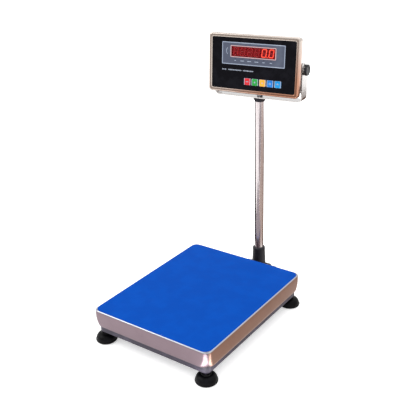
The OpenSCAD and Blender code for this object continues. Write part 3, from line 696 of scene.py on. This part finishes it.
# %% Level lid and ring
RING_R = 2.9
RING_LINE = 0.5
RING_T = 0.1
low, high = span("level_window")
lid_r = (high.x - low.x) / 2
lid_at = shifted((low.x + high.x) / 2, (low.y + high.y) / 2, low.z)
lid_h = high.z - low.z
lid = lathe([
    (0, 0), (lid_r, 0), (lid_r, lid_h * 0.7), (lid_r * 0.9, lid_h * 0.85), (lid_r * 0.6, lid_h * 0.97),
    (0, lid_h)])
make_piece("level_lid", lid, lid_at, "level_window", replaces=["level_window"])
ring = [(RING_R, 0), (RING_R + RING_LINE, 0), (RING_R + RING_LINE, RING_T), (RING_R, RING_T), (RING_R, 0)]
mark = lathe([(radius, lid_h + rise) for radius, rise in ring], 32)
make_piece("level_ring", mark, lid_at, "level_window", wears=["dark_print"])
print("level of radius", round(lid_r, 1))

# %% [markdown]
# ## Clamp knobs
# A clamp knob is a moulded disc with flutes for the fingers. A star outline comes from a circle whose
# points are pulled in and let out again eight times around. Extruding and bevelling it gives the body,
# and a shallow dished cap hides the screw.

# %% Fluted knobs
FLUTES = 8
FLUTE_DEPTH = 0.1
KNOB_POINTS = 96
PIN_R = 3.0
CAP_STEPS = ((1.2, 0), (0.6, 0), (2.2, -0.9))


def knob_shape(radius, inner, outer_end):
    """A fluted disc from inner to outer_end along Z, with its pin reaching down to zero."""
    shape = bmesh.new()
    base = bmesh.ops.create_circle(shape, cap_ends=True, radius=radius, segments=KNOB_POINTS)
    for point in base["verts"]:
        turn = point.co.xy.angle_signed(Vector((1, 0)), 0) * FLUTES
        waist = 1 - FLUTE_DEPTH * (0.5 + 0.5 * cos(turn)) ** 2
        point.co.x *= waist
        point.co.y *= waist
    bmesh.ops.translate(shape, vec=(0, 0, inner), verts=shape.verts)
    raised = bmesh.ops.extrude_face_region(shape, geom=shape.faces[:])
    top = [item for item in raised["geom"] if isinstance(item, bmesh.types.BMVert)]
    bmesh.ops.translate(shape, vec=(0, 0, outer_end - inner), verts=top)
    cap = [face for face in shape.faces if face.calc_center_median().z > outer_end - 0.01]
    for thickness, depth in CAP_STEPS:
        bmesh.ops.inset_region(shape, faces=cap, thickness=thickness, depth=depth)
    rim = [edge for edge in shape.edges if edge.calc_face_angle(0) > SHARP
           and all(end.co.z > outer_end - 0.01 or end.co.z < inner + 0.01 for end in edge.verts)
           and all(end.co.xy.length > radius * 0.85 for end in edge.verts)]
    bmesh.ops.bevel(shape, geom=rim, offset=0.9, offset_type="OFFSET", affect="EDGES",
                    segments=3, profile=0.5, material=-1)
    pin_end = inner + 0.5
    pin = lathe([(0, 0), (PIN_R - 0.4, 0), (PIN_R, 0.4), (PIN_R, pin_end), (0, pin_end)], 24)
    stem = bpy.data.meshes.new("pin")
    pin.to_mesh(stem)
    pin.free()
    shape.from_mesh(stem)
    bpy.data.meshes.remove(stem)
    bmesh.ops.recalc_face_normals(shape, faces=shape.faces)
    return shape


for side, sign in (("left", -1), ("right", 1)):
    low, high = span("knob_" + side, head_place)
    ends = sorted((abs(low.x), abs(high.x)))
    body_start = span("knob_washers", head_place)[1].x
    outward = Matrix.Rotation(sign * pi / 2, 4, "Y")
    place = head_place @ shifted(sign * ends[0], 0, 0) @ outward
    shape = knob_shape((high.z - low.z) / 2, body_start - ends[0], ends[1] - ends[0])
    make_piece("knob_star_" + side, shape, place, "knob_" + side, replaces=["knob_" + side])
print("knobs from", round(body_start, 1), "to", round(ends[1], 1), "mm off the middle")

# %% [markdown]
# ## Bezel
# The bezel is a shallow pressed frame. Its outer edge rolls over with a radius of about 3 mm, its face
# is a flat band, and its inner edge dips to the panel. The same loft tool makes it, with outlines that
# run up the outside, across the face and back down inside, and then close behind it.

# %% Pressed bezel
head_w = bezel_high.x - bezel_low.x
head_h = bezel_high.z - bezel_low.z
bezel_t = bezel_high.y - bezel_low.y
BORDER = 8.5
HEAD_CORNER = 8.0
PANEL_CORNER = 3.5
ROLL = 3.0
WALL = 1.3


def bezel_outline(inset, level, corner):
    return head_w - 2 * inset, head_h - 2 * inset, corner, level


def rolled_outline(turn):
    """The outline at one angle of the roll, from the outer wall at 0 to the face at a right angle."""
    inset = ROLL * (1 - cos(turn))
    return bezel_outline(inset, ROLL * (sin(turn) - 1), HEAD_CORNER - inset * 0.8)


pressed = loft(
    [bezel_outline(0, -bezel_t, HEAD_CORNER), bezel_outline(0, -ROLL - 1, HEAD_CORNER)]
    + [rolled_outline(radians(degrees)) for degrees in range(0, 91, 15)]
    + [
        bezel_outline(ROLL + 0.8, 0, HEAD_CORNER - 2.8),
        bezel_outline(BORDER - 1.4, 0, PANEL_CORNER + 1),
        bezel_outline(BORDER - 0.9, -0.15, PANEL_CORNER + 0.6),
        bezel_outline(BORDER - 0.2, -0.7, PANEL_CORNER),
        bezel_outline(BORDER, -1.5, PANEL_CORNER),
        bezel_outline(BORDER - 1.2, -1.5, PANEL_CORNER + 1),
        bezel_outline(WALL, -ROLL - 1, HEAD_CORNER - WALL),
        bezel_outline(WALL, -bezel_t, HEAD_CORNER - WALL),
    ], closed=True)
make_piece("bezel_frame", pressed, face_place, "front_bezel", replaces=["front_bezel"])
print("bezel", round(head_w), "x", round(head_h), "x", round(bezel_t), "mm")

# %% [markdown]
# ## Panel, label and print
# The panel is a black plate with a grey-blue label. What is printed on them is drawn as very thin raised
# shapes, which keeps them crisp from any side: a pale line around the label, small dark marks under
# the window with a short bar below each, and a row of bars where a line of words would be.

# %% Flat print
faces = {name: span(name, face_place) for name in ("front_panel", "display_label", "display_window")}
panel_level = faces["front_panel"][1].z
label_low, label_high = faces["display_label"]
window_low, window_high = faces["display_window"]
label_middle = (label_low + label_high) / 2
window_middle = (window_low + window_high) / 2
PRINT = 0.12


def joined(shapes):
    """One bmesh from several."""
    whole = bmesh.new()
    for shape in shapes:
        carried = bpy.data.meshes.new("carried")
        shape.to_mesh(carried)
        shape.free()
        whole.from_mesh(carried)
        bpy.data.meshes.remove(carried)
    return whole


def moved(shape, x, y, z=0.0):
    bmesh.ops.translate(shape, vec=(x, y, z), verts=shape.verts)
    return shape


def tile(width, height, level, thick=PRINT, corner=0.3):
    """A thin plate with rounded corners."""
    soft = min(corner, width * 0.45, height * 0.45)
    return loft([(width, height, soft, level), (width, height, soft, level + thick)])


def band(width, height, corner, thickness, level, thick=PRINT):
    """A thin rectangular line of this thickness inside this outline."""
    inside = (width - 2 * thickness, height - 2 * thickness, max(corner - thickness, 0.3))
    return loft([(width, height, corner, level), (width, height, corner, level + thick),
                 (*inside, level + thick), (*inside, level)], closed=True)


label_w, label_h = label_high.x - label_low.x, label_high.y - label_low.y
window_w, window_h = window_high.x - window_low.x, window_high.y - window_low.y
softened("front_panel", 0.25)
softened("display_label", 0.12)
label_top = label_high.z
LINE_INSET = 0.6
LINE_W = 1.5
LINE_CORNER = 2.5
line = band(label_w - 2 * LINE_INSET, label_h - 2 * LINE_INSET, LINE_CORNER, LINE_W, label_top)
border = moved(line, label_middle.x, label_middle.y)
make_piece("label_line", border, face_place, "display_label", wears=["pale_print"])
print("label", round(label_w), "x", round(label_h), "mm, window", round(window_w), "x", round(window_h), "mm")

# %% Marks and bars
MARKS = 6
MARK_PITCH = 17.4
MARK_SIZE = 1.5
MARK_DROP = 4.6
BAR_DROP = 9.2
BAR_H = 1.5
BAR_WIDTHS = [3.5, 9.5, 9.5, 9.5, 6.0, 5.5]
WORDS = [12, 34, 28]
WORD_START = -76
WORD_GAP = 3
WORD_DROP = -14.5
LETTER_PITCH = 2.6
LETTER_W = 1.9
LETTER_LOW = 2.2
LETTER_TALL = 2.9


def triangle(size, x, y, level):
    shape = bmesh.new()
    bmesh.ops.create_cone(shape, cap_ends=True, segments=3, radius1=size, radius2=size, depth=PRINT)
    bmesh.ops.rotate(shape, cent=(0, 0, 0), matrix=Matrix.Rotation(pi / 2, 3, "Z"), verts=shape.verts)
    return moved(shape, x, y, level + PRINT / 2)


mark_x = [window_middle.x + (i - (MARKS - 1) / 2) * MARK_PITCH for i in range(MARKS)]
mark_y = window_low.y - MARK_DROP
bar_y = window_low.y - BAR_DROP
marks = joined([triangle(MARK_SIZE, x, mark_y, label_top) for x in mark_x])
make_piece("label_marks", marks, face_place, "display_label", wears=["dark_print"])
bars = joined([moved(tile(width, BAR_H, label_top), x, bar_y) for width, x in zip(BAR_WIDTHS, mark_x)])
make_piece("label_bars", bars, face_place, "display_label", wears=["pale_print"])

letters = []
word_x = WORD_START
for index, width in enumerate(WORDS):
    for step in range(int(width / LETTER_PITCH)):
        letter_h = LETTER_LOW if (index + step) % 3 else LETTER_TALL
        letter = tile(LETTER_W, letter_h, panel_level)
        letters.append(moved(letter, word_x + 1 + step * LETTER_PITCH, WORD_DROP))
    word_x += width + WORD_GAP
make_piece("panel_bars", joined(letters), face_place, "front_panel", wears=["grey_print"])

# %% Small arc beside the window
ARC_STEPS = 24
ARC_R = 8
ARC_W = 1
ARC_ANGLE = 110
DOT = 1.6
DOT_PITCH = 7
arc_mark = bmesh.new()
ring = ((ARC_R, 0), (ARC_R + ARC_W, 0), (ARC_R + ARC_W, PRINT), (ARC_R, PRINT))
start = [arc_mark.verts.new((radius, 0, label_top + rise)) for radius, rise in ring]
section = arc_mark.faces.new(start)
bmesh.ops.spin(arc_mark, geom=[section, *section.edges, *start], axis=(0, 0, 1), cent=(0, 0, 0),
               angle=radians(ARC_ANGLE), steps=ARC_STEPS)
to_the_left = Matrix.Rotation(radians(180 - ARC_ANGLE / 2), 3, "Z")
bmesh.ops.rotate(arc_mark, cent=(0, 0, 0), matrix=to_the_left, verts=arc_mark.verts)
bmesh.ops.recalc_face_normals(arc_mark, faces=arc_mark.faces)
moved(arc_mark, window_low.x - 4, window_middle.y)
make_piece("label_arc", arc_mark, face_place, "display_label", wears=["pale_print"])
dots = joined([
    moved(tile(DOT, DOT, label_top, corner=0.7), window_low.x - 7, window_middle.y + step * DOT_PITCH)
    for step in (-1, 0, 1)
])
make_piece("label_dots", dots, face_place, "display_label", wears=["dark_print"])

# %% [markdown]
# ## Window and digits
# Each digit is seven bars. A bar is a six-sided disc whose two halves are pulled apart, which gives the
# pointed ends of a real segment. The bars lean a little, as they do on real displays. All the bars that
# are off form one piece and those that are on form another, so that each piece has a single finish.

# %% Seven-segment digits
DIGITS = 6
DIGIT_PITCH = 17.3
BAR_THICK = 2.3
BAR_RAISED = 0.3
BAR_SPACE = 0.4
HALF_W = 5.0
HALF_H = 8.4
LEAN = 0.14
POINT = 2.2
POINT_SHIFT = 7.0
SEGMENTS = {
    "top": (0, 1, False), "middle": (0, 0, False), "bottom": (0, -1, False),
    "upper_left": (-1, 0.5, True), "lower_left": (-1, -0.5, True),
    "upper_right": (1, 0.5, True), "lower_right": (1, -0.5, True),
}
ZERO = set(SEGMENTS) - {"middle"}
LIT = {DIGITS - 2: ZERO, DIGITS - 1: ZERO}


def digit_bar(length, x, y, standing, level):
    """One pointed bar of a digit, which stands up or lies flat."""
    shape = bmesh.new()
    bmesh.ops.create_circle(shape, cap_ends=True, radius=BAR_THICK / 2, segments=6)
    bmesh.ops.rotate(shape, cent=(0, 0, 0), matrix=Matrix.Rotation(pi / 6, 3, "Z"), verts=shape.verts)
    for point in shape.verts:
        point.co.x += (length / 2 - BAR_THICK / 2) * (1 if point.co.x > 0 else -1)
    raised = bmesh.ops.extrude_face_region(shape, geom=shape.faces[:])
    top = [item for item in raised["geom"] if isinstance(item, bmesh.types.BMVert)]
    bmesh.ops.translate(shape, vec=(0, 0, BAR_RAISED), verts=top)
    if standing:
        bmesh.ops.rotate(shape, cent=(0, 0, 0), matrix=Matrix.Rotation(pi / 2, 3, "Z"), verts=shape.verts)
    moved(shape, x, y, level)
    for point in shape.verts:
        point.co.x += point.co.y * LEAN
    bmesh.ops.recalc_face_normals(shape, faces=shape.faces)
    return shape


digit_level = span("display_module", face_place)[1].z
lit = []
unlit = []
for place_in_row in range(DIGITS):
    middle_x = window_middle.x + (place_in_row - (DIGITS - 1) / 2) * DIGIT_PITCH
    for segment, (column, row, standing) in SEGMENTS.items():
        length = HALF_H - 1.5 * BAR_SPACE if standing else 2 * (HALF_W - BAR_SPACE)
        bar = digit_bar(length, column * HALF_W, row * HALF_H, standing, digit_level)
        bar = moved(bar, middle_x, window_middle.y)
        (lit if segment in LIT.get(place_in_row, ()) else unlit).append(bar)
    point = tile(POINT, POINT, digit_level, BAR_RAISED, 0.9)
    point = moved(point, middle_x + POINT_SHIFT, window_middle.y - HALF_H)
    (lit if place_in_row == DIGITS - 2 else unlit).append(point)
make_piece("digits_on", joined(lit), face_place, "display_module", wears=["digit_on"])
make_piece("digits_off", joined(unlit), face_place, "display_module", wears=["digit_off"])
print(DIGITS, "digits of", 2 * HALF_H, "mm")

# %% Tinted window and its frame
WINDOW_CORNER = 1.4
WINDOW_EDGE = 0.3
RIM_W = 2.0
RIM_LINE = 1.7
pane = loft([
    (window_w, window_h, WINDOW_CORNER, window_low.z),
    (window_w, window_h, WINDOW_CORNER, window_high.z - WINDOW_EDGE),
    (window_w - 2 * WINDOW_EDGE, window_h - 2 * WINDOW_EDGE, WINDOW_CORNER - 0.2, window_high.z),
])
make_piece("window_pane", moved(pane, window_middle.x, window_middle.y), face_place,
           "display_window", replaces=["display_window"])
rim = band(window_w + 2 * RIM_W, window_h + 2 * RIM_W, RIM_W, RIM_LINE, label_top, WINDOW_EDGE)
make_piece("window_rim", moved(rim, window_middle.x, window_middle.y), face_place,
           "display_label", wears=["pink_print"])

# %% [markdown]
# ## Keys
# Each key is a shallow dome with a pale edge and a small white sign. The dome is a loft of
# shrinking outlines, the pale edge is a ring of faces that wears a second finish, and the signs are plain
# generic shapes: a bar, a diamond, a dot, a ring, and a triangle over a bar.

# %% Domed keys
KEY_RIM = 0.8
KEY_CORNER = 1.3
FLANGE_T = 1.0
STEM_R = 1.5
STEM_L = 0.8
PALE_EDGE = (0.1, 1.35)
SIGN_SINK = 0.01
# How far the dome's outlines are drawn in, and how far below its top they lie.
DOME_STEPS = ((0, 0.8), (0.2, 0.35), (0.6, 0.12), (1.3, 0.1), (1.6, 0.02), (3.5, 0))


def domed_cap(width, height, foot, top):
    """A key's cap from its foot up to its top, with a band of faces for its pale edge."""
    shape = loft([(width, height, KEY_CORNER, foot)] + [
        (width - 2 * inset, height - 2 * inset, 1.6 if inset > 0.5 else KEY_CORNER, top - drop)
        for inset, drop in DOME_STEPS
    ])
    nearest, farthest = (width / 2 - edge for edge in PALE_EDGE)
    for side in shape.faces:
        reach = max(abs(corner.co.x) for corner in side.verts)
        side.material_index = 1 if farthest < reach <= nearest else 0
    return shape


def key_sign(index, level):
    """A small generic sign for each key."""
    if index == 1:
        return tile(6, 1.6, level)
    if index == 2:
        shape = tile(3.4, 3.4, level)
        bmesh.ops.rotate(shape, cent=(0, 0, 0), matrix=Matrix.Rotation(pi / 4, 3, "Z"), verts=shape.verts)
        return shape
    if index == 3:
        return tile(3.4, 3.4, level, corner=1.5)
    if index == 4:
        return band(4.6, 4.6, 2.0, 0.9, level)
    return joined([tile(5.5, 1.4, level), moved(triangle(1.8, 0, 0, level), 0, 1.6)])


for index in range(1, 6):
    node = "key_" + str(index)
    low, high = span(node, face_place)
    flange_w = high.x - low.x
    flange_h = high.y - low.y
    middle = (low + high) / 2
    foot = low.z + STEM_L + FLANGE_T + 0.1
    cap = domed_cap(flange_w - 2 * KEY_RIM, flange_h - 2 * KEY_RIM, foot, high.z)
    stem = lathe([(0, low.z), (STEM_R, low.z), (STEM_R, foot), (0, foot)], 24)
    flange = tile(flange_w, flange_h, low.z + STEM_L, FLANGE_T, KEY_CORNER)
    shape = moved(joined([cap, stem, flange]), middle.x, middle.y)
    make_piece("key_cap_" + str(index), shape, face_place, node,
               wears=[slot_of[node], "pale_print"], replaces=[node])
    sign = moved(key_sign(index, high.z - SIGN_SINK), middle.x, middle.y)
    make_piece("key_sign_" + str(index), sign, face_place, node, wears=["pale_print"])
print("five keys, tops at", round(high.z, 2), "mm from the bezel's face")

# %% [markdown]
# ## Floor, light and camera
# The floor is a wide pale sheet that glows a little, which keeps the shadows soft. A big soft light from
# the left and above gives shape, and the sky is a plain pale grey.
# Polished metal shows what lies around it, so coloured cards lie on the floor and over the tray, and one
# stands before the head. Only reflections see them. They give the post its darker left and its warm right.

# %% Floor and reflection cards
FLOOR = 30.0
CARD_RISE = 0.003
TRAY_CARD_SHARE = 0.98


def plain_sheet(name, middle, width, depth, finish):
    """A flat level rectangle around the object, in metres."""
    shape = bmesh.new()
    bmesh.ops.create_grid(shape, x_segments=1, y_segments=1, size=0.5)
    bmesh.ops.scale(shape, vec=(width, depth, 1), verts=shape.verts)
    bmesh.ops.translate(shape, vec=middle, verts=shape.verts)
    mesh = bpy.data.meshes.new(name)
    shape.to_mesh(mesh)
    shape.free()
    mesh.materials.append(finish.material)
    made = bpy.data.objects.new(name, mesh)
    bpy.context.scene.collection.objects.link(made)
    return made


ground = Finish("studio_floor", Roughness=0.9, Specular_IOR_Level=0.1, Emission_Strength=0.45)
ground.set("Base Color", ground.tint(ground.noise(400), colour("f6f6f5"), colour("fafaf9")))
ground.set("Emission Color", colour("ffffff"))
plain_sheet("floor", (0, 0, 0), 2 * FLOOR, 2 * FLOOR, ground)


def aimed(spot, target):
    """Where something stands, turned so that its -Z looks at the target."""
    look = (Vector(target) - Vector(spot)).normalized()
    turn = look.to_track_quat("-Z", "Y").to_matrix().to_4x4()
    return Matrix.Translation(spot) @ turn


def card(name, tone, middle, width, depth):
    """A glowing sheet that only reflections see."""
    glowing = Finish(name, Emission_Strength=1.0, Specular_IOR_Level=0.0)
    glowing.set("Base Color", colour("000000"))
    glowing.set("Emission Color", colour(tone))
    made = plain_sheet(name, middle, width, depth, glowing)
    made.visible_camera = False
    made.visible_diffuse = False
    made.visible_transmission = False
    made.visible_shadow = False
    return made


card("card_left", "1d151e", (-1.04, 0.55, CARD_RISE), 1.72, 1.2)
card("card_behind", "6e5548", (0.14, 1.15, CARD_RISE), 1.1, 1.7)
card("card_right", "e6d2c6", (1.05, 0.4, CARD_RISE), 1.76, 1.3)
card("card_front", "b9afb4", (0.95, -0.75, CARD_RISE), 1.4, 0.9)
over_tray = Vector((pan_middle.x, pan_middle.y, pan_high.z)) * MM + Vector((0, 0, CARD_RISE))
card("card_tray", "c4bcc2", over_tray, pan_w * MM * TRAY_CARD_SHARE, pan_d * MM * TRAY_CARD_SHARE)
stood = card("card_face", "bdb5b1", (0, 0, 0), 1.0, 0.8)
stood.matrix_world = aimed((-0.63, -1.69, 0.37), head_place.translation)

# %% Lights and sky


def soft_light(name, spot, target, width, height, power):
    """A rectangular lamp that looks at its target, in metres and watts."""
    light = bpy.data.lights.new(name, "AREA")
    light.shape = "RECTANGLE"
    light.size = width
    light.size_y = height
    light.energy = power
    lamp = bpy.data.objects.new(name, light)
    bpy.context.scene.collection.objects.link(lamp)
    lamp.matrix_world = aimed(spot, target)
    lamp.visible_camera = False
    return lamp


AIM = (0, 0, 0.2)
soft_light("key", (-2.4, -1.6, 2.6), AIM, 2.2, 1.6, 40)
soft_light("top", (0.2, 0.6, 3.2), AIM, 3.0, 3.0, 30)
# Two small patches of light in front of the tray's near corner make its bright upright lines.
corner_at = Vector((pan_high.x - CORNER / 2, pan_low.y + CORNER / 2, 0)) * MM
PATCH_AWAY = 0.07
PATCH_RISE = Vector((0, 0, 0.012))
PATCH_DEEP = 0.09
UP = Vector((0, 0, 1))
for name, bearing, width, power in (("corner_front", 18, 0.075, 0.2), ("corner_side", 104, 0.03, 0.06)):
    away = Vector((sin(radians(bearing)), -cos(radians(bearing)), 0))
    spot = corner_at + away * PATCH_AWAY + PATCH_RISE
    patch = soft_light(name, spot, spot + UP, width, PATCH_DEEP, power)
    patch.matrix_world = placed(spot, UP.cross(away), away)
sky = bpy.data.worlds.new("sky")
sky.use_nodes = True
sky.node_tree.nodes["Background"].inputs["Color"].default_value = colour("fbfbfc")
sky.node_tree.nodes["Background"].inputs["Strength"].default_value = 1.1
bpy.context.scene.world = sky
bpy.context.scene.view_settings.view_transform = "Standard"
print("four lights and a pale sky")

# %% [markdown]
# The camera looks down at the scale from its front right, with a lens a little longer than a normal one.
# Its place is given in metres from the middle of the tray's top, and its direction as a bearing, a
# downward angle and a small roll.

# %% Camera
EYE_RIGHT = 0.7957
EYE_BEFORE_TRAY = 1.0822
EYE_OVER_TRAY = 0.792
eye_at = (EYE_RIGHT, pan_middle.y * MM - EYE_BEFORE_TRAY, pan_high.z * MM + EYE_OVER_TRAY)
BEARING = radians(35.70)
DOWN = radians(23.37)
ROLL_ANGLE = radians(-1.65)
eye = bpy.data.cameras.new("camera")
eye.lens = 60.37
eye.sensor_width = 36.0
camera = bpy.data.objects.new("camera", eye)
bpy.context.scene.collection.objects.link(camera)
right = Vector((cos(BEARING), sin(BEARING), 0))
ahead = Vector((-sin(BEARING) * cos(DOWN), cos(BEARING) * cos(DOWN), -sin(DOWN)))
above = right.cross(ahead)
level = Matrix((right, above, -ahead)).transposed().to_4x4()
camera.matrix_world = Matrix.Translation(eye_at) @ level @ Matrix.Rotation(ROLL_ANGLE, 4, "Z")
bpy.context.scene.camera = camera
